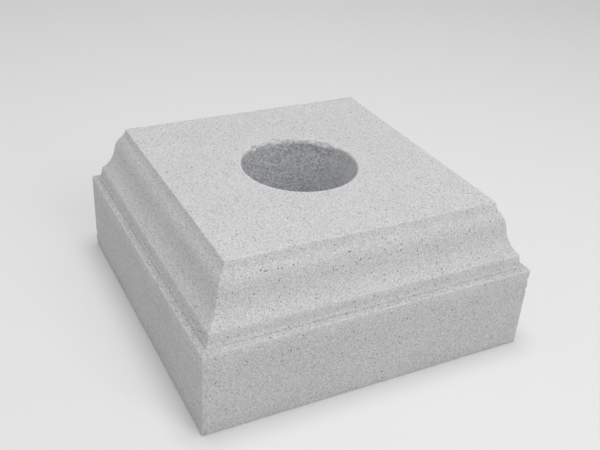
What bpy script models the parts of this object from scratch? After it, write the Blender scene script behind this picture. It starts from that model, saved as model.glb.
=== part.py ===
"""Cast-stone column base block, 400 mm square and 180 mm high.

A square plinth carries a base moulding that runs round all four sides and is mitred at the corners.
From the plinth up it is a weathered ledge, a low step, a leaning fillet, a cove, a nearly upright
waist, an ovolo and a small cavetto. The flat top is the bed that the column stands on, and a round
bore for the column's core goes through the middle, from the bed to the underside.

Metres, +Z up. The origin is the middle of the underside, and the four sides face along X and Y.
"""

import math

import bmesh
import bpy
from mathutils import Matrix, Vector

# Plinth
PLINTH_WIDTH = 0.400
PLINTH_HEIGHT = 0.103

# Mouldings, from the plinth up: a rise is upright, a set-in is the step towards the middle, and a
# turn is how far a curved member bends from its foot to its top, which is negative for a hollow one
LEDGE_RISE = 0.0007
LEDGE_SET_IN = 0.0075
STEP_RISE = 0.0013
TREAD_RISE = 0.0009
TREAD_SET_IN = 0.0014
FILLET_RISE = 0.0129
FILLET_SET_IN = 0.0019
COVE_RISE = 0.0238
COVE_SET_IN = 0.0130
COVE_TURN = math.radians(-31)
WAIST_RISE = 0.0096
WAIST_SET_IN = 0.0019
OVOLO_RISE = 0.0170
OVOLO_SET_IN = 0.0076
OVOLO_TURN = math.radians(33)
CAVETTO_RISE = 0.0108
CAVETTO_SET_IN = 0.0043
CAVETTO_TURN = math.radians(-16)

# Bore, with a small chamfer where it opens on the bed
BORE_DIAMETER = 0.136
BORE_CHAMFER = 0.003

# Softened edges, as a mould leaves them
ARRIS_RADIUS = 0.0012
CORNER_RADIUS = 0.0015

# How finely the curves are faceted
MOULDING_STEPS = 10
ARRIS_STEPS = 3
CORNER_STEPS = 3
BORE_SIDES = 72

# Edges that turn more than this stay sharp when the block is shaded
SHARP_FROM = math.radians(35)

# How far the bore's cutter runs past the block, and the most of a short face that an arris may take
CUTTER_OVERRUN = 0.010
ARRIS_SHARE = 0.45

STONE_COLOUR = (0.60, 0.60, 0.59, 1.0)
STONE_ROUGHNESS = 0.9


def clear_scene():
    for old in list(bpy.data.objects):
        bpy.data.objects.remove(old, do_unlink=True)


def cast_stone():
    """Pale grey cast stone with a fine, dry surface."""
    stone = bpy.data.materials.new("cast_stone")
    stone.use_nodes = True
    shader = stone.node_tree.nodes["Principled BSDF"]
    shader.inputs["Base Color"].default_value = STONE_COLOUR
    shader.inputs["Roughness"].default_value = STONE_ROUGHNESS
    shader.inputs["Metallic"].default_value = 0.0
    stone.diffuse_color = STONE_COLOUR
    return stone


def curved_member(start, rise, set_in, turn):
    """Arc from start to the point that its rise and set-in give, without start itself."""
    chord = Vector((-set_in, rise))
    centre = start + chord / 2 + chord.orthogonal() / (2 * math.tan(turn / 2))
    turns = [Matrix.Rotation(turn * step / MOULDING_STEPS, 2) for step in range(1, MOULDING_STEPS + 1)]
    return [centre + turned @ (start - centre) for turned in turns]


def eased_arris(before, arris, after):
    """A sharp edge of the profile, rounded by an arc that touches the faces on both sides."""
    back, on = before - arris, after - arris
    half_angle = back.angle(on) / 2
    reach = min(
        ARRIS_RADIUS / math.tan(half_angle),
        ARRIS_SHARE * back.length,
        ARRIS_SHARE * on.length,
    )
    inwards = (back.normalized() + on.normalized()).normalized()
    centre = arris + inwards * reach / math.cos(half_angle)
    first = arris + back.normalized() * reach - centre
    last = arris + on.normalized() * reach - centre
    turn = -first.angle_signed(last)
    turns = [Matrix.Rotation(turn * step / ARRIS_STEPS, 2) for step in range(ARRIS_STEPS + 1)]
    return [centre + turned @ first for turned in turns]


def block_profile():
    """The block's side as (half width, height) points, from the underside up to the bed."""
    underside = Vector((PLINTH_WIDTH / 2, 0))
    plinth_top = underside + Vector((0, PLINTH_HEIGHT))
    ledge_back = plinth_top + Vector((-LEDGE_SET_IN, LEDGE_RISE))
    step_top = ledge_back + Vector((0, STEP_RISE))
    tread_back = step_top + Vector((-TREAD_SET_IN, TREAD_RISE))
    fillet_top = tread_back + Vector((-FILLET_SET_IN, FILLET_RISE))
    cove = curved_member(fillet_top, COVE_RISE, COVE_SET_IN, COVE_TURN)
    waist_top = cove[-1] + Vector((-WAIST_SET_IN, WAIST_RISE))
    ovolo = curved_member(waist_top, OVOLO_RISE, OVOLO_SET_IN, OVOLO_TURN)
    cavetto = curved_member(ovolo[-1], CAVETTO_RISE, CAVETTO_SET_IN, CAVETTO_TURN)
    bed_edge = cavetto[-1]
    return [
        *eased_arris(Vector((0, 0)), underside, plinth_top),
        *eased_arris(underside, plinth_top, ledge_back),
        ledge_back,
        *eased_arris(ledge_back, step_top, tread_back),
        tread_back,
        *eased_arris(tread_back, fillet_top, cove[0]),
        *cove,
        waist_top,
        *ovolo,
        *cavetto[:-1],
        *eased_arris(cavetto[-2], bed_edge, Vector((0, bed_edge.y))),
    ]


def square_outline(half_width, height):
    """One level of the block: a square with its four corners rounded."""
    to_centre = half_width - CORNER_RADIUS
    outline = []
    for quarter in range(4):
        start = quarter * math.pi / 2
        middle = start + math.pi / 4
        centre_x = math.copysign(to_centre, math.cos(middle))
        centre_y = math.copysign(to_centre, math.sin(middle))
        for step in range(CORNER_STEPS + 1):
            angle = start + math.pi / 2 * step / CORNER_STEPS
            x = centre_x + CORNER_RADIUS * math.cos(angle)
            y = centre_y + CORNER_RADIUS * math.sin(angle)
            outline.append((x, y, height))
    return outline


def circle_outline(radius, height):
    angles = [2 * math.pi * side / BORE_SIDES for side in range(BORE_SIDES)]
    return [(radius * math.cos(a), radius * math.sin(a), height) for a in angles]


def stacked_solid(name, outlines):
    """A closed solid skinned over outlines of equal length, listed from the bottom up."""
    mesh = bpy.data.meshes.new(name)
    shape = bmesh.new()
    rings = [[shape.verts.new(point) for point in outline] for outline in outlines]
    for lower, upper in zip(rings, rings[1:]):
        for side in range(len(lower)):
            after = (side + 1) % len(lower)
            shape.faces.new((lower[side], lower[after], upper[after], upper[side]))
    shape.faces.new(list(reversed(rings[0])))
    shape.faces.new(rings[-1])
    shape.normal_update()
    shape.to_mesh(mesh)
    shape.free()
    solid = bpy.data.objects.new(name, mesh)
    bpy.context.scene.collection.objects.link(solid)
    return solid


def bore_cutter(bed_height):
    """What the bore takes out: a cylinder that widens at 45 degrees through the bed."""
    radius = BORE_DIAMETER / 2
    widened = radius + BORE_CHAMFER + CUTTER_OVERRUN
    cutter = stacked_solid(
        "bore_cutter",
        [
            circle_outline(radius, -CUTTER_OVERRUN),
            circle_outline(radius, bed_height - BORE_CHAMFER),
            circle_outline(widened, bed_height + CUTTER_OVERRUN),
        ],
    )
    cutter.hide_render = True
    cutter.display_type = "WIRE"
    return cutter


def column_base_block():
    profile = block_profile()
    block = stacked_solid("column_base_block", [square_outline(p.x, p.y) for p in profile])
    block.data.materials.append(cast_stone())
    cut = block.modifiers.new("bore", "BOOLEAN")
    cut.operation = "DIFFERENCE"
    cut.solver = "EXACT"
    cut.object = bore_cutter(bed_height=profile[-1].y)
    block.data.shade_smooth()
    block.data.set_sharp_from_angle(angle=SHARP_FROM)
    return block


def main():
    clear_scene()
    column_base_block()


main()
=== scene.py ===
# %% [markdown]
# # A column base block in cast stone
#
# The real thing is one heavy casting that a porch column stands on. A fine, dry mix of sand, crushed
# stone and cement is tamped into a mould, and the block comes out with a plain plinth, a base moulding
# and a round bore for the column's core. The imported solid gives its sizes. This lesson dresses it: it
# skins the same form again with a mesh fine enough for softened edges, chips and pinholes, gives that
# skin a sandy finish, and sets up a quiet studio and a camera that looks down on one corner.

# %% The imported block
import math
import random

import bmesh
import bpy
import numpy as np
from mathutils import Matrix, Vector, kdtree, noise


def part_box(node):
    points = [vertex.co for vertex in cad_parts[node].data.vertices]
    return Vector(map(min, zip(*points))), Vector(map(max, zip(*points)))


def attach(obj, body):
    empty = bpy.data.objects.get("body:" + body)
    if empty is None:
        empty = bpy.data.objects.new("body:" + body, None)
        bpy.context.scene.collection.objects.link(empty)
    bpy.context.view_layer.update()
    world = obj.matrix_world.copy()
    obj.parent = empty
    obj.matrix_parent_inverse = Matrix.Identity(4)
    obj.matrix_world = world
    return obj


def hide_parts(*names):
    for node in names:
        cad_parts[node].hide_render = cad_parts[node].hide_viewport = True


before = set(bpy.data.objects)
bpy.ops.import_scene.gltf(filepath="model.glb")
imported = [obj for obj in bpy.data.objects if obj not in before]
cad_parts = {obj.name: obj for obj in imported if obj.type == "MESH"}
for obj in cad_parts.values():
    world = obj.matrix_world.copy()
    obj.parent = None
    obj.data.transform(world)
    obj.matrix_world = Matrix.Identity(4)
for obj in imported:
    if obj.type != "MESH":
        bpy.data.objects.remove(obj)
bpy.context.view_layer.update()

NODE = "column_base_block"
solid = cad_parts[NODE]
foot_corner, bed_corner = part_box(NODE)
print("packed block:", [round(side, 4) for side in bed_corner - foot_corner], "metres")

# %% [markdown]
# Masons measure in millimetres and Blender in metres, so small sizes are written times MM. Paint and
# stone colours are quoted as sRGB hex codes, and a shader takes linear light, so one function turns
# the one into the other.

# %% Millimetres and colours
MM = 0.001


def linear(code):
    """An sRGB hex colour as the linear red, green, blue and alpha that a shader takes."""
    shares = [int(code[place:place + 2], 16) / 255 for place in (1, 3, 5)]
    light = [s / 12.92 if s <= 0.04045 else ((s + 0.055) / 1.055) ** 2.4 for s in shares]
    return (*light, 1.0)


print("mid grey #808080 is", round(linear("#808080")[0], 3), "in linear light")

# %% [markdown]
# ## Camera
#
# The straight edges of a block are enough to place a camera: their vanishing points give the lens and
# the tilt, and the corners give the place. This one is about a metre away, looks down at a third of a
# right angle and is held a little crooked. A camera could also be aimed with a Track To constraint, but
# that can't roll, so its turn is built from three plain rotations.

# %% Camera
CAMERA_PLACE = Vector((-420.6, -778.2, 617.1)) * MM
CAMERA_HEADING = math.radians(27.52)
CAMERA_DOWN = math.radians(30.87)
CAMERA_ROLL = math.radians(3.19)
LENS = 50.1
SHIFT = (0.026, 0.007)

camera_data = bpy.data.cameras.new("camera")
camera_data.lens = LENS
camera_data.sensor_width = 36.0
camera_data.shift_x, camera_data.shift_y = SHIFT
camera = bpy.data.objects.new("camera", camera_data)
bpy.context.scene.collection.objects.link(camera)
camera.matrix_world = (
    Matrix.Translation(CAMERA_PLACE)
    @ Matrix.Rotation(-CAMERA_HEADING, 4, "Z")
    @ Matrix.Rotation(math.pi / 2 - CAMERA_DOWN, 4, "X")
    @ Matrix.Rotation(CAMERA_ROLL, 4, "Z")
)
bpy.context.scene.camera = camera
print("camera is", round(CAMERA_PLACE.length, 3), "m from the middle of the underside")

# %% [markdown]
# ## The section of the mould
#
# A base moulding is drawn as a section, which the mould carries round the block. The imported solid
# already holds that section in its corners: at each height, the farthest corner out is the half width
# there. Reading it from the solid keeps this skin true to it, whatever size it is given. The bore is
# read the same way, as the nearest corner to the axis, and the ledge on top of the plinth is the
# longest step inwards between two points of the section.

# %% Read the section and the bore
SAME_PLACE = 0.1 * MM


def from_axis(point):
    return math.hypot(point.x, point.y)


corners = [vertex.co for vertex in solid.data.vertices]
bed_height = bed_corner.z
bore_radius = min(from_axis(c) for c in corners)
lip_radius = min(from_axis(c) for c in corners if abs(c.z - bed_height) < SAME_PLACE)
lip_depth = bed_height - max(c.z for c in corners if from_axis(c) < bore_radius + SAME_PLACE)

half_widths = {}
for corner in corners:
    if from_axis(corner) > lip_radius + MM:
        height = round(corner.z, 6)
        half_widths[height] = max(half_widths.get(height, 0), abs(corner.x))
side_section = [(half_widths[height], height) for height in sorted(half_widths)]
stretches = zip(side_section, side_section[1:])
ledge_front, ledge_back = max(stretches, key=lambda ends: ends[0][0] - ends[1][0])
print("section has", len(side_section), "points; bore radius", round(bore_radius / MM, 2), "mm")
print("ledge is", round((ledge_front[0] - ledge_back[0]) / MM, 1), "mm deep")

# %% [markdown]
# The low step that rises from the back of the ledge is drawn with a crisp nose. On the real block it is
# soft, more of a slope than a step, because a nose of two millimetres seldom leaves the mould whole. So
# the section's points there are replaced by two others, each placed from the back of the ledge.

# %% Soften the step
SOFT_STEP = [Vector((-0.5, 1.6)) * MM, Vector((-1.9, 3.9)) * MM, Vector((-2.1, 5.0)) * MM]


def with_soft_step(section):
    """The same section with a slope in place of the step's nose."""
    soft = [tuple(Vector(ledge_back) + offset) for offset in SOFT_STEP]
    below = [point for point in section if point[1] <= ledge_back[1]]
    above = [point for point in section if point[1] > soft[-1][1]]
    return [*below, *soft, *above]


side_section = with_soft_step(side_section)
print("the step is now a slope that ends", round(SOFT_STEP[-1].y / MM, 1), "mm above the ledge")

# %% [markdown]
# The section's points lie far apart on the flat plinth and close together on the curves. The skin needs
# them close enough everywhere to carry wear, so long stretches are divided. The flats take a coarser
# step than the moulding, because the triangles are better spent where the eye rests.

# %% Divide the section
FLAT_STEP = 4.2 * MM
MOULDING_STEP = 2.6 * MM
LONG_FLAT = 30 * MM
STEP_LEEWAY = 0.01


def divided(section):
    """The same section with no stretch longer than its step."""
    finer = [section[0]]
    for (width, height), (next_width, next_height) in zip(section, section[1:]):
        length = math.hypot(next_width - width, next_height - height)
        step = FLAT_STEP if length > LONG_FLAT else MOULDING_STEP
        pieces = max(1, math.ceil(length / step - STEP_LEEWAY))
        for piece in range(1, pieces + 1):
            share = piece / pieces
            piece_width = width + share * (next_width - width)
            piece_height = height + share * (next_height - height)
            finer.append((piece_width, piece_height))
    return finer


side_rings = divided(side_section)
print("side is skinned over", len(side_rings), "rings")

# %% [markdown]
# ## Rings
#
# Every level of the block is a square with slightly rounded corners, and every level of the bore is a
# circle. If both have the same number of points, numbered from the same place, a ring can turn from
# one into the other, and the bed becomes a set of rings between its square edge and its round hole. That
# keeps every edge of the block on a line of the mesh, which a remesh or a subdivided cube would blur.

# %% Square and round rings
SIDE_STEPS = 150
CORNER_STEPS = 4
PLAN_CORNER = 1.5 * MM


def square_plan():
    """Two tables, a row for each column round the block: its place on a unit square, and the way out."""
    places, ways = [], []
    for quarter in range(4):
        turn = Matrix.Rotation(quarter * math.pi / 2, 2)
        for step in range(SIDE_STEPS):
            places.append(turn @ Vector((1, 2 * step / SIDE_STEPS - 1)))
            ways.append(turn @ Vector((1, 0)))
        for step in range(CORNER_STEPS):
            angle = math.pi / 2 * step / CORNER_STEPS
            places.append(turn @ Vector((1, 1)))
            ways.append(turn @ Vector((math.cos(angle), math.sin(angle))))
    return np.array(places), np.array(ways)


plan_places, plan_ways = square_plan()
COLUMNS = len(plan_places)


def at_height(plan, height):
    """A ring's plan at one height, or at a height for each column."""
    return np.column_stack([plan, np.broadcast_to(height, len(plan))])


def square_ring(half_width, height):
    plan = plan_places * (half_width - PLAN_CORNER) + plan_ways * PLAN_CORNER
    return at_height(plan, height)


column_angles = 2 * math.pi * (np.arange(COLUMNS) + CORNER_STEPS / 2) / COLUMNS - math.pi / 4
column_ways = np.column_stack([np.cos(column_angles), np.sin(column_angles)])


def round_ring(radius, height):
    """A ring round the axis, with one radius or a radius for each column."""
    return at_height(column_ways * np.broadcast_to(radius, COLUMNS)[:, None], height)


print(COLUMNS, "columns round the block")

# %% [markdown]
# The skin is one closed band of rings: out across the underside, up the side, in across the bed, over
# the bore's lip and down its wall to the start. The bed, bore and underside have half as many columns
# as the moulded side. The lip was cast with a small chamfer. Where the core was dragged out it wore
# away into a wider, rounded one, so that the lip is not the same all the way round.

# %% Rings of the whole skin
BED_RINGS = 27
LIP_RINGS = 7
BORE_RINGS = 40
BORE_CROWDING = 1.3
UNDERSIDE_RINGS = 6
LIP_WORN_TOWARDS = math.radians(78)
LIP_WORN_REACH, LIP_WORN_DROP = 3.0 * MM, 4.5 * MM
LIP_WEAR_FOCUS = 2


def between(first, last, rings, crowding=1.0):
    """Rings between two rings, without the two. A crowding above 1 gathers them at the first."""
    shares = [(step / rings) ** crowding for step in range(1, rings)]
    return [first + (last - first) * share for share in shares]


def halved(ring):
    return ring[::2]


def lip_wear(angles):
    """How worn the lip is in each direction from the axis, from 0 to 1."""
    return np.clip(np.cos(angles - LIP_WORN_TOWARDS), 0, 1) ** LIP_WEAR_FOCUS


side = [square_ring(width, height) for width, height in side_rings]
lip_reach = lip_radius - bore_radius + LIP_WORN_REACH * lip_wear(column_angles)
lip_drop = lip_depth + LIP_WORN_DROP * lip_wear(column_angles)
lip = []
for step in range(LIP_RINGS + 1):
    turn = math.pi / 2 * step / LIP_RINGS
    radius = bore_radius + lip_reach * (1 - math.sin(turn))
    height = bed_height - lip_drop * (1 - math.cos(turn))
    lip.append(round_ring(radius, height))
bore_foot = round_ring(bore_radius, 0.0)

bed = between(side[-1], lip[0], BED_RINGS)
bore = between(lip[-1], bore_foot, BORE_RINGS, BORE_CROWDING)
underside = between(bore_foot, side[0], UNDERSIDE_RINGS)
inner_rings = [halved(ring) for ring in [*bed, *lip, *bore, bore_foot, *underside]]
rings = [*side, *inner_rings]
print(len(rings), "rings in all; the lip is up to", round(lip_drop.max() / MM, 1), "mm deep")

# %% [markdown]
# Neighbouring rings are joined by squares. Where a full ring meets a halved one, each two squares become
# three triangles, so that no gap and no loose corner is left. Blender's own Bridge Edge Loops would do
# this as well, but it picks its own diagonals, and here they stay the same on every run.

# %% Skin the rings
def joined(lower, upper):
    """Faces between two rings of corner numbers, one of which may have half the corners of the other."""
    faces = []
    if len(lower) == len(upper):
        for here in range(len(lower)):
            after = (here + 1) % len(lower)
            faces.append((lower[here], lower[after], upper[after], upper[here]))
    elif len(lower) > len(upper):
        for here in range(len(upper)):
            after = (here + 1) % len(upper)
            left, middle = lower[2 * here], lower[2 * here + 1]
            right = lower[(2 * here + 2) % len(lower)]
            faces += [(left, middle, upper[here]), (middle, upper[after], upper[here])]
            faces.append((middle, right, upper[after]))
    else:
        faces = [tuple(reversed(face)) for face in joined(upper, lower)]
    return faces


starts = np.cumsum([0] + [len(ring) for ring in rings])
numbered = [range(start, start + len(ring)) for start, ring in zip(starts, rings)]
skin_faces = []
for lower, upper in zip(numbered, numbered[1:] + numbered[:1]):
    skin_faces += joined(lower, upper)
skin_mesh = bpy.data.meshes.new("cast_block")
skin_mesh.from_pydata(np.concatenate(rings).tolist(), [], skin_faces)
skin_mesh.update()
print(len(skin_mesh.vertices), "corners and", len(skin_mesh.polygons), "faces")

# %% [markdown]
# ## Which corners are edges
#
# Wear happens on edges, so the skin has to know where they are. The rings could be told by hand, but the
# shape knows already: an edge is where the surface bends sharply. Between two neighbouring corners of a
# mesh, the bend is twice the drop below the tangent plane over the squared distance. Averaged over the
# neighbours it is near zero on the flats, small on the ovolo and large on every edge and mitre. The
# narrow reading is where an edge is rubbed pale and given a faint painted highlight, and the spread one
# is where it crumbles.

# %% Measure the bend
ARRIS_BEND = 0.12 / MM
SPREAD_ROUNDS = 2

skin_points = np.empty((len(skin_mesh.vertices), 3))
skin_mesh.vertices.foreach_get("co", skin_points.ravel())
skin_normals = np.empty_like(skin_points)
skin_mesh.vertex_normals.foreach_get("vector", skin_normals.ravel())
skin_edges = np.empty((len(skin_mesh.edges), 2), dtype=int)
skin_mesh.edges.foreach_get("vertices", skin_edges.ravel())
both_ways = np.concatenate([skin_edges, skin_edges[:, ::-1]])
neighbours = np.bincount(both_ways[:, 0], minlength=len(skin_points))


def over_neighbours(values):
    """Mean over each corner's neighbours of one value for each edge, taken both ways."""
    return np.bincount(both_ways[:, 0], weights=values, minlength=len(skin_points)) / neighbours


to_neighbour = skin_points[both_ways[:, 1]] - skin_points[both_ways[:, 0]]
drop = -np.einsum("ij,ij->i", to_neighbour, skin_normals[both_ways[:, 0]])
bend = over_neighbours(2 * drop / np.einsum("ij,ij->i", to_neighbour, to_neighbour))
# The finish paints these convex edges a little paler, partly as rubbing and partly as a painted highlight.
rubbed_and_highlit = np.clip(bend / ARRIS_BEND, 0, 1)
arris = rubbed_and_highlit
for spread_round in range(SPREAD_ROUNDS):
    arris = np.maximum(arris, over_neighbours(arris[both_ways[:, 1]]))
print(int((arris > 0.5).sum()), "corners lie on an arris")

# %% [markdown]
# ## Wear
#
# A real casting is never as true as its drawing. The mould's boards bow a little, the sharp edges
# crumble grain by grain, and the bore, which a rough core leaves behind, is as coarse as broken bread.
# Each is a noise of its own grain size, pushed into the stone and never out of it, so that the block
# keeps inside its drawn size. The underside stays flat, because the block stands on it. The lip only
# crumbles on its worn side; towards the camera it is still crisp.

# %% Push in the faces, edges and bore
FACE_BOW, FACE_BOW_SIZE = 0.12 * MM, 70 * MM
ARRIS_LOSS, ARRIS_LOSS_SIZE = 0.55 * MM, 4.5 * MM
LIP_LOSS, LIP_LOSS_SIZE = 1.6 * MM, 3.2 * MM
BORE_LOSS, BORE_LOSS_SIZE = 0.9 * MM, 3.0 * MM
FLAT_DOWN = -0.9


def grain(points, size, seed):
    """Noise from 0 to 1 at each point, with features of about that size."""
    place = Vector((seed, 2 * seed, 3 * seed))
    return np.array([0.5 + 0.5 * noise.noise(Vector(p) / size + place) for p in points])


skin_radii = np.hypot(skin_points[:, 0], skin_points[:, 1])
skin_angles = np.arctan2(skin_points[:, 1], skin_points[:, 0])
skin_wear = lip_wear(skin_angles)
in_bore = np.clip((lip_radius - skin_radii) / (lip_radius - bore_radius), 0, 1)
at_bore = skin_radii < lip_radius + LIP_WORN_REACH
on_lip = arris * skin_wear * at_bore
standing = (skin_normals[:, 2] < FLAT_DOWN) & (skin_points[:, 2] < MM)
loss = (
    FACE_BOW * grain(skin_points, FACE_BOW_SIZE, 1)
    + ARRIS_LOSS * arris * ~at_bore * grain(skin_points, ARRIS_LOSS_SIZE, 2)
    + LIP_LOSS * on_lip * grain(skin_points, LIP_LOSS_SIZE, 3)
    + BORE_LOSS * in_bore * grain(skin_points, BORE_LOSS_SIZE, 4)
)
loss[standing] = 0
worn_points = skin_points - skin_normals * loss[:, None]
print("deepest wear", round(loss.max() / MM, 2), "mm")

# %% [markdown]
# Now and then an edge loses more than a grain. A chip is a shallow bite centred on the edge: deepest at
# its middle and gone at its rim. The edges of this block are sound, so the chips are few and small,
# except on the worn side of the lip. One is placed: the plinth's near corner has lost its tip.

# %% Chip the edges
SMALLEST_CHIP, LARGEST_CHIP = 1.5 * MM, 4.0 * MM
CHIP_DEPTH_SHARE = 0.3
PLACED_CHIPS = [(Vector((-ledge_front[0], -ledge_front[0], ledge_front[1])), 8.0 * MM)]
EDGE_CHIPS, EDGE_FROM = 70, 0.8
LIP_CHIPS, LIP_FROM = 45, 0.3

chance = random.Random(11)
nearest = kdtree.KDTree(len(skin_points))
for number, point in enumerate(skin_points):
    nearest.insert(point, number)
nearest.balance()


def chip(centre_number, size):
    """Bite a chip out of the skin round one of its corners."""
    inwards = -Vector(skin_normals[centre_number])
    for place, number, distance in nearest.find_range(skin_points[centre_number], size):
        depth = CHIP_DEPTH_SHARE * size * (1 - (distance / size) ** 2)
        worn_points[number] += np.array(inwards * depth)


for place, size in PLACED_CHIPS:
    chip(nearest.find(place)[1], size)
edge_corners = np.flatnonzero((arris > EDGE_FROM) & ~at_bore & (skin_points[:, 2] > MM))
lip_corners = np.flatnonzero(on_lip > LIP_FROM)
chipped = chance.sample(list(edge_corners), EDGE_CHIPS)
chipped += chance.sample(list(lip_corners), LIP_CHIPS)
for number in chipped:
    chip(number, chance.uniform(SMALLEST_CHIP, LARGEST_CHIP))
skin_mesh.vertices.foreach_set("co", worn_points.astype(np.float32).ravel())
skin_mesh.update()
print(EDGE_CHIPS, "chips along the edges and", LIP_CHIPS, "round the bore")

# %% [markdown]
# ## Marks for the finish
#
# Some of the look depends on the form. Edges are rubbed pale and given a faint painted highlight. The
# ledge is darkened partly by dust and partly by painted shade, heavier on the -X side and at its back,
# and the plinth is darkened with painted shade that fades out towards its top edge. Rain has also
# stained the bore under one side of the lip, and the side of the bore towards +X is painted lighter, as
# painted light. Each is a number on every corner of the mesh, kept as a named attribute, which a shader
# can read. Vertex paint would do the same by hand, but these follow the form when its sizes change.

# %% Marks on the corners
STAIN_TOWARDS = math.radians(38)
STAIN_TOP, STAIN_FOOT = 6 * MM, 18 * MM
STAIN_SIZE = 9 * MM
STAIN_FOCUS = 3
PAINTED_LIGHT_TOWARDS = math.radians(-10)
PAINTED_LIGHT_FOCUS = 2
LEDGE_NEAR = 0.2 * MM
DUST_AND_SHADE_FADE = 0.2
DUST_AND_SHADE_ELSEWHERE = 0.75
PLINTH_SHADE_FADE = 20 * MM
MARKED_FROM = 0.3

half_width = np.maximum(np.abs(skin_points[:, 0]), np.abs(skin_points[:, 1]))
along_ledge = np.clip((ledge_front[0] - half_width) / (ledge_front[0] - ledge_back[0]), 0, 1)
above_ledge = skin_points[:, 2] - (ledge_front[1] + (ledge_back[1] - ledge_front[1]) * along_ledge)
on_ledge = (half_width < ledge_front[0] + LEDGE_NEAR) & (np.abs(above_ledge) < LEDGE_NEAR)
# The ledge is darkened partly by dust and partly by painted shade, which is heavier on the -X side and
# towards the back of the ledge.
on_shaded_side = skin_points[:, 0] < LEDGE_NEAR - half_width
dust_and_shade_by_side = np.where(on_shaded_side, 1, DUST_AND_SHADE_ELSEWHERE)
dust_and_shade = on_ledge * dust_and_shade_by_side * (1 - DUST_AND_SHADE_FADE + DUST_AND_SHADE_FADE * along_ledge)
# The plinth is darkened with painted shade, which fades out towards its top edge.
on_plinth = half_width > ledge_front[0] - LEDGE_NEAR
plinth_shade = on_plinth * np.clip((ledge_front[1] - skin_points[:, 2]) / PLINTH_SHADE_FADE, 0, 1)

below_bed = bed_height - skin_points[:, 2]
stain_depth = np.clip((STAIN_FOOT - below_bed) / (STAIN_FOOT - STAIN_TOP), 0, 1)
stain_side = np.clip(np.cos(skin_angles - STAIN_TOWARDS), 0, 1) ** STAIN_FOCUS
stain_patches = (below_bed > STAIN_TOP) * grain(skin_points, STAIN_SIZE, 5)
stain = in_bore * stain_depth * stain_side * stain_patches
# The side of the bore towards +X is painted lighter: painted light.
bore_painted_light = in_bore * np.clip(np.cos(skin_angles - PAINTED_LIGHT_TOWARDS), 0, 1) ** PAINTED_LIGHT_FOCUS

marks = {"rubbed_and_highlit": rubbed_and_highlit, "dust_and_shade": dust_and_shade, "plinth_shade": plinth_shade, "stain": stain, "bore_painted_light": bore_painted_light}
for name, strength in marks.items():
    kept = skin_mesh.attributes.new(name, "FLOAT", "POINT")
    kept.data.foreach_set("value", strength.astype(np.float32))
    print(name, "marks", int((strength > MARKED_FROM).sum()), "corners")

# %% [markdown]
# ## Pinholes
#
# Air trapped against the mould leaves pinholes, which show as dark dots a millimetre or two across. A
# bump pattern would only paint them, so they are cut: a face is taken out, eight corners make a ring
# inside its place, and eight more make the floor below. The finer ones are left to the finish. The
# corners of each floor get a mark too, with which the finish darkens them as painted shade.

# %% Cut one pinhole
PINHOLE_DEPTH_SHARE = 1.3
PINHOLE_FLOOR_SHARE = 0.7
PINHOLE_CORNERS = 8
FITS = 1.2

skin_mesh.attributes.new("pinhole", "FLOAT", "POINT")
skin = bmesh.new()
skin.from_mesh(skin_mesh)
skin.faces.ensure_lookup_table()
pinhole_shade = skin.verts.layers.float["pinhole"]


def room(face):
    """Radius of the round hole that fits in a four-cornered face."""
    return min(edge.calc_length() for edge in face.edges) / 2 / FITS


def cut_pinhole(face, radius):
    """Put a pinhole into a face: triangles out to its corners, a wall and a floor."""
    corners = list(face.verts)
    centre, normal = face.calc_center_median(), face.normal.copy()
    first = (corners[0].co + corners[3].co) / 2 - centre
    along = (first - normal * first.dot(normal)).normalized()
    across = normal.cross(along)
    floor_centre = centre - normal * radius * PINHOLE_DEPTH_SHARE
    rim, floor = [], []
    for step in range(PINHOLE_CORNERS):
        angle = 2 * math.pi / PINHOLE_CORNERS * step
        way = along * math.cos(angle) + across * math.sin(angle)
        rim.append(skin.verts.new(centre + way * radius))
        floor.append(skin.verts.new(floor_centre + way * radius * PINHOLE_FLOOR_SHARE))
    # The floor corners are marked, and the finish darkens them with painted shade.
    for vertex in floor:
        vertex[pinhole_shade] = 1.0
    for side_number, corner in enumerate(corners):
        before, middle, after = (rim[(2 * side_number + step) % PINHOLE_CORNERS] for step in (0, 1, 2))
        skin.faces.new((corner, middle, before))
        skin.faces.new((corner, after, middle))
        skin.faces.new((corner, corners[(side_number + 1) % 4], after))
    for step in range(PINHOLE_CORNERS):
        after = (step + 1) % PINHOLE_CORNERS
        skin.faces.new((rim[step], rim[after], floor[after], floor[step]))
    skin.faces.new(floor)
    skin.faces.remove(face)


open_faces = [
    face
    for face in skin.faces
    if len(face.verts) == 4
    and from_axis(face.calc_center_median()) > lip_radius + LIP_WORN_REACH
    and face.normal.z > FLAT_DOWN
]
print(len(open_faces), "faces could take a pinhole")

# %% [markdown]
# Most pinholes fall by chance, small ones far more often than large ones, and fewer on the side that
# faces -X, where the mould was smoother. The largest few are given a place each, so that they stay
# where the real block has them. Each is named by the side it is on, by how far along that side it lies
# from the middle, and by its height.

# %% Scatter the pinholes
PINHOLES = 470
SMALLEST_PINHOLE, LARGEST_PINHOLE = 0.45 * MM, 1.05 * MM
SMOOTH_SIDE_SHARE, SMOOTH_SIDE_FROM = 0.3, -0.5
SIZE_FOCUS = 2
PLACED_PINHOLES = {
    "front, left of the ovolo": Vector((-90.5, -170.7, 163.4)) * MM,
    "front, at the ovolo's left end": Vector((-122.8, -170.0, 164.6)) * MM,
    "front, under the waist": Vector((-108.8, -180.6, 130.8)) * MM,
    "front, right half of the waist": Vector((29.6, -174.1, 153.1)) * MM,
    "left, on the cavetto": Vector((-165.3, -121.1, 171.8)) * MM,
    "left, on the ledge": Vector((-196.9, -121.1, 103.4)) * MM,
    "left, top of the cove": Vector((-177.6, -116.8, 137.9)) * MM,
    "bed, near the left edge": Vector((-122.0, 33.0, 180.0)) * MM,
}


def chance_of_pinhole(face):
    share = SMOOTH_SIDE_SHARE if face.normal.x < SMOOTH_SIDE_FROM else 1.0
    return share * face.calc_area() * (room(face) > SMALLEST_PINHOLE)


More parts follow.
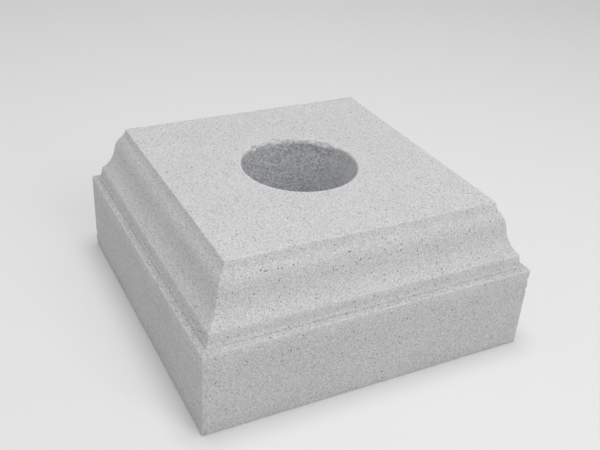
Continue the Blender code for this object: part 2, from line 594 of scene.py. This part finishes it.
face_places = kdtree.KDTree(len(open_faces))
for number, face in enumerate(open_faces):
    face_places.insert(face.calc_center_median(), number)
face_places.balance()
pinhole_sizes = {face_places.find(place)[1]: LARGEST_PINHOLE for place in PLACED_PINHOLES.values()}
chances = [chance_of_pinhole(face) for face in open_faces]
for number in chance.choices(range(len(open_faces)), weights=chances, k=PINHOLES):
    size = SMALLEST_PINHOLE + (LARGEST_PINHOLE - SMALLEST_PINHOLE) * chance.random() ** SIZE_FOCUS
    pinhole_sizes.setdefault(number, size)
for number, size in sorted(pinhole_sizes.items()):
    cut_pinhole(open_faces[number], min(size, room(open_faces[number])))
print(len(pinhole_sizes), "pinholes cut,", len(PLACED_PINHOLES), "of them placed")

# %% [markdown]
# The bore has a finish of its own, so its faces are told apart here. The pale skin of the bed turns over
# the lip and stops at a ragged border some millimetres down. Faces are shaded smooth, and edges that
# turn more than an ordinary curve stay sharp.

# %% Close the mesh
SHARP_FROM = math.radians(40)
STONE_SLOT, BORE_SLOT = 0, 1
BORDER_SHARE = 0.8
BORDER_RAGGED, BORDER_SIZE = 2.4 * MM, 5 * MM


def below_lip(point):
    """Whether a point inside the bore lies below the pale skin of the lip."""
    wear = float(lip_wear(math.atan2(point.y, point.x)))
    skin_depth = BORDER_SHARE * (lip_depth + LIP_WORN_DROP * wear)
    ragged = wear * BORDER_RAGGED * noise.noise(point / BORDER_SIZE)
    return bed_height - point.z > skin_depth + ragged


for face in skin.faces:
    middle = face.calc_center_median()
    inside = from_axis(middle) < lip_radius and middle.z > MM
    face.material_index = BORE_SLOT if inside and below_lip(middle) else STONE_SLOT
    face.smooth = True
skin.to_mesh(skin_mesh)
skin.free()
skin_mesh.set_sharp_from_angle(angle=SHARP_FROM)
cast_block = bpy.data.objects.new("cast_block", skin_mesh)
bpy.context.scene.collection.objects.link(cast_block)
triangles = sum(len(polygon.vertices) - 2 for polygon in skin_mesh.polygons)
print("cast block has", triangles, "triangles")

# %% [markdown]
# ## Finishes
#
# A finish is a small graph of shader nodes. One helper adds a node: its settings are plain words, and
# each input is either a value or another node's output, which it links.

# %% Add a node
def add_node(tree, kind, inputs, **settings):
    """Add a shader node, set its settings, and set or link its inputs."""
    node = tree.nodes.new(kind)
    for name, value in settings.items():
        setattr(node, name, value)
    for socket, value in inputs.items():
        if isinstance(value, bpy.types.NodeSocket):
            tree.links.new(value, node.inputs[socket])
        else:
            node.inputs[socket].default_value = value
    return node


# %% [markdown]
# Cast stone is cement, quartz sand and crushed limestone, tamped dry and cured, then acid-washed
# so that the sand shows. To the eye it is a dead matt, neutral pale grey. Close by, it is peppered: each
# grain of sand has a lightness of its own, a dark one lies every few millimetres, and here and there a
# grain has fallen out and left a pit, whose shade is painted dark as well as cut in relief. All of that is
# one number, how light the stone is at a point, and it picks a colour between a dark grain and a bare
# quartz one. Each pattern and each mark adds its own share to the number, and a share below zero darkens.
#
# The sand is 0.6 mm, finer than a pixel of the picture, so it is drawn at 1.0 mm, and its relief at 2.0 mm
# for the same reason. Voronoi cells make the grains, because each cell has one random colour, as a grain
# has, which smooth noise can't give.

# %% Cast stone
STONE_DARK, STONE_LIGHT = "#6a6a6a", "#efefef"
STONE_LIGHTNESS = 0.70
STONE_IOR = 1.52
STONE_ROUGHNESS = 0.92
SAND_SIZE, SAND_CONTRAST = 1.0 * MM, 0.40
CLOUD_SIZE, CLOUD_CONTRAST, CLOUD_DETAIL = 55 * MM, 0.10, 3.0
DARK_GRAIN_SPACING, DARK_GRAIN_CHANCE, DARK_GRAIN_SHARE = 2.4 * MM, 0.5, -0.48
# The pits are painted darker as painted shade, on top of their relief.
PIT_SPACING, PIT_CHANCE, PIT_SHADE_SHARE = 5.5 * MM, 0.5, -0.44
SPECK_CORE, SPECK_RIM = 0.08, 0.20
# Of these marks, the pale edges are partly rubbing and partly a painted highlight, the ledge's darkening
# is partly dust and partly painted shade, and the plinth and pinhole darkening is painted shade.
STONE_MARKS = {"rubbed_and_highlit": 0.03, "dust_and_shade": -0.21, "plinth_shade": -0.08, "pinhole": -0.50}
ROUGH_SIZE, ROUGH_DETAIL = 2.0 * MM, 1.0
PIT_RELIEF = -1.5
GRAIN_RELIEF = 0.5 * MM
RELIEF_STRENGTH = 0.7


def tally(tree, start, shares):
    """Sum of patterns, each times its share, on top of a starting value."""
    total = start
    for pattern, share in shares:
        inputs = {0: pattern, 1: share, 2: total}
        total = add_node(tree, "ShaderNodeMath", inputs, operation="MULTIPLY_ADD").outputs[0]
    return total


def grains(tree, place, size):
    """One random number from 0 to 1 for each grain of that size."""
    cells = add_node(tree, "ShaderNodeTexVoronoi", {"Vector": place, "Scale": 1 / size})
    return add_node(tree, "ShaderNodeSeparateColor", {"Color": cells.outputs["Color"]}).outputs["Green"]


def specks(tree, place, spacing, chance_of_one):
    """Sparse round dots, 1 in the middle and 0 outside, one in some of the cells of that spacing."""
    cells = add_node(tree, "ShaderNodeTexVoronoi", {"Vector": place, "Scale": 1 / spacing})
    fade = {
        "Value": cells.outputs["Distance"],
        "From Min": SPECK_CORE,
        "From Max": SPECK_RIM,
        "To Min": 1.0,
        "To Max": 0.0,
    }
    dot = add_node(tree, "ShaderNodeMapRange", fade, interpolation_type="SMOOTHSTEP").outputs["Result"]
    luck = add_node(tree, "ShaderNodeSeparateColor", {"Color": cells.outputs["Color"]}).outputs["Red"]
    chosen = {0: luck, 1: chance_of_one}
    has_one = add_node(tree, "ShaderNodeMath", chosen, operation="LESS_THAN").outputs[0]
    return add_node(tree, "ShaderNodeMath", {0: dot, 1: has_one}, operation="MULTIPLY").outputs[0]


def uneven(tree, place, size, detail):
    """Smooth noise from 0 to 1, with features of about that size."""
    inputs = {"Vector": place, "Scale": 1 / size, "Detail": detail}
    return add_node(tree, "ShaderNodeTexNoise", inputs).outputs["Fac"]


def from_marks(tree, marks):
    """The marks that were kept on the mesh, each with its share."""
    nodes = {name: add_node(tree, "ShaderNodeAttribute", {}, attribute_name=name) for name in marks}
    return [(nodes[name].outputs["Fac"], share) for name, share in marks.items()]


def dressed(stone, lightness, dark, light, relief_height, relief, roughness):
    """Join one lightness and one relief to the shader of a stone."""
    tree = stone.node_tree
    shader = tree.nodes["Principled BSDF"]
    choice = {0: lightness, 6: linear(dark), 7: linear(light)}
    colour = add_node(tree, "ShaderNodeMix", choice, data_type="RGBA").outputs[2]
    pushed = {"Height": relief_height, "Strength": RELIEF_STRENGTH, "Distance": relief}
    tree.links.new(colour, shader.inputs["Base Color"])
    tree.links.new(add_node(tree, "ShaderNodeBump", pushed).outputs["Normal"], shader.inputs["Normal"])
    shader.inputs["Roughness"].default_value = roughness
    shader.inputs["IOR"].default_value = STONE_IOR
    return stone


def cast_stone():
    """Acid-washed cast stone: matt, neutral and peppered."""
    stone = bpy.data.materials.new("cast_stone")
    stone.use_nodes = True
    tree = stone.node_tree
    place = add_node(tree, "ShaderNodeTexCoord", {}).outputs["Object"]
    sand = grains(tree, place, SAND_SIZE)
    clouds = uneven(tree, place, CLOUD_SIZE, CLOUD_DETAIL)
    rough = uneven(tree, place, ROUGH_SIZE, ROUGH_DETAIL)
    dark_grains = specks(tree, place, DARK_GRAIN_SPACING, DARK_GRAIN_CHANCE)
    pits = specks(tree, place, PIT_SPACING, PIT_CHANCE)
    patterns = [(sand, SAND_CONTRAST), (clouds, CLOUD_CONTRAST)]
    spots = [(dark_grains, DARK_GRAIN_SHARE), (pits, PIT_SHADE_SHARE)]
    start = STONE_LIGHTNESS - sum(share for pattern, share in patterns) / 2
    lightness = tally(tree, start, patterns + spots + from_marks(tree, STONE_MARKS))
    height = tally(tree, 0.0, [(rough, 1.0), (pits, PIT_RELIEF)])
    return dressed(stone, lightness, STONE_DARK, STONE_LIGHT, height, GRAIN_RELIEF, STONE_ROUGHNESS)


cast_block.data.materials.append(cast_stone())
print("cast stone is between", STONE_DARK, "and", STONE_LIGHT)

# %% [markdown]
# The bore was left by a rough core, so its wall was never washed or rubbed. It shows the mix as it was
# tamped: coarser and greyer than the face, with open pores. Its colours carry a cold tint that is painted
# shade, and the pores are dark spots of painted shade with no relief of their own. The same nodes make
# it, with larger grains and deeper relief. Little light gets in, and a pale wall passes on what does, so
# its own colour has to be much lighter than it looks.

# %% Cored bore
# Both bore colours carry a cold tint that stands for the light in shade: painted shade.
BORE_DARK_SHADE_TINTED, BORE_LIGHT_SHADE_TINTED = "#7c7e80", "#f0f1f4"
BORE_LIGHTNESS = 0.61
BORE_ROUGHNESS = 0.95
BORE_GRAIN_SIZE, BORE_CONTRAST = 2.0 * MM, 0.6
BORE_RELIEF, BORE_ROUGH_DETAIL = 0.6 * MM, 2.0
# The pores are dark spots with no relief: painted shade.
PORE_SPACING, PORE_CHANCE, PORE_SHADE_SHARE = 4.0 * MM, 0.6, -0.25
# The mark towards +X lifts that side of the bore as painted light.
BORE_MARKS = {"stain": -0.6, "bore_painted_light": 0.32}


def cored_stone():
    """Cast stone as a rough core leaves it: open, coarse and greyer."""
    stone = bpy.data.materials.new("cored_stone")
    stone.use_nodes = True
    tree = stone.node_tree
    place = add_node(tree, "ShaderNodeTexCoord", {}).outputs["Object"]
    mix = grains(tree, place, BORE_GRAIN_SIZE)
    pores = specks(tree, place, PORE_SPACING, PORE_CHANCE)
    rough = uneven(tree, place, BORE_GRAIN_SIZE, BORE_ROUGH_DETAIL)
    shares = [(mix, BORE_CONTRAST), (pores, PORE_SHADE_SHARE), *from_marks(tree, BORE_MARKS)]
    lightness = tally(tree, BORE_LIGHTNESS - BORE_CONTRAST / 2, shares)
    return dressed(stone, lightness, BORE_DARK_SHADE_TINTED, BORE_LIGHT_SHADE_TINTED, rough, BORE_RELIEF, BORE_ROUGHNESS)


cast_block.data.materials.append(cored_stone())
print("cored stone is between", BORE_DARK_SHADE_TINTED, "and", BORE_LIGHT_SHADE_TINTED)

# %% [markdown]
# ## Studio
#
# The block stands on a plain sheet of white studio paper, large enough to fill the picture. It lies a
# hair below the underside, because two faces in one plane fight over which of them is seen.

# %% Floor
FLOOR_REACH = 6.0
FLOOR_GAP = 0.3 * MM
FLOOR_COLOUR = "#f3f3f3"
FLOOR_ROUGHNESS = 0.9

floor_mesh = bpy.data.meshes.new("floor")
floor_shape = bmesh.new()
bmesh.ops.create_grid(floor_shape, x_segments=2, y_segments=2, size=FLOOR_REACH)
floor_shape.to_mesh(floor_mesh)
floor_shape.free()
floor = bpy.data.objects.new("floor", floor_mesh)
floor.location.z = -FLOOR_GAP
bpy.context.scene.collection.objects.link(floor)
floor_paper = bpy.data.materials.new("studio_paper")
floor_paper.use_nodes = True
floor_shader = floor_paper.node_tree.nodes["Principled BSDF"]
floor_shader.inputs["Base Color"].default_value = linear(FLOOR_COLOUR)
floor_shader.inputs["Roughness"].default_value = FLOOR_ROUGHNESS
floor.data.materials.append(floor_paper)
print("floor is", 2 * FLOOR_REACH, "m square")

# %% [markdown]
# Outdoors the sky does most of the lighting, so a pale surrounding light fills every side. A large soft
# lamp overhead makes the bed the brightest face, and another near the camera, a little to its right,
# lifts the right-hand side above the left-hand one. A sun lamp would do as well, but its shadows are
# crisp, and those of a cloudy day are not.

# %% Light
SURROUND_COLOUR = "#f6f5f5"
SURROUND_STRENGTH = 0.46
LAMP_DISTANCE = 2.6
LAMP_SIZE = 1.4
LAMPS = {
    "front": (Vector((0.2, -0.74, 0.64)), 12.2),
    "overhead": (Vector((0.0, 0.0, 1.0)), 25.5),
}

world = bpy.data.worlds.new("surround")
world.use_nodes = True
world.node_tree.nodes["Background"].inputs["Color"].default_value = linear(SURROUND_COLOUR)
world.node_tree.nodes["Background"].inputs["Strength"].default_value = SURROUND_STRENGTH
bpy.context.scene.world = world

for name, (way, watts) in LAMPS.items():
    lamp_data = bpy.data.lights.new(name, "AREA")
    lamp_data.shape = "DISK"
    lamp_data.size = LAMP_SIZE
    lamp_data.energy = watts
    lamp = bpy.data.objects.new(name, lamp_data)
    lamp.location = way.normalized() * LAMP_DISTANCE
    lamp.rotation_euler = way.to_track_quat("Z", "Y").to_euler()
    bpy.context.scene.collection.objects.link(lamp)
bpy.context.scene.view_settings.view_transform = "Standard"
print("lamps:", {name: watts for name, (way, watts) in LAMPS.items()}, "surround:", SURROUND_STRENGTH)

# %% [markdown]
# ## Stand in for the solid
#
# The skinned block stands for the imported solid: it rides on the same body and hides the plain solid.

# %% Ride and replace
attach(cast_block, "root")
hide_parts(NODE)
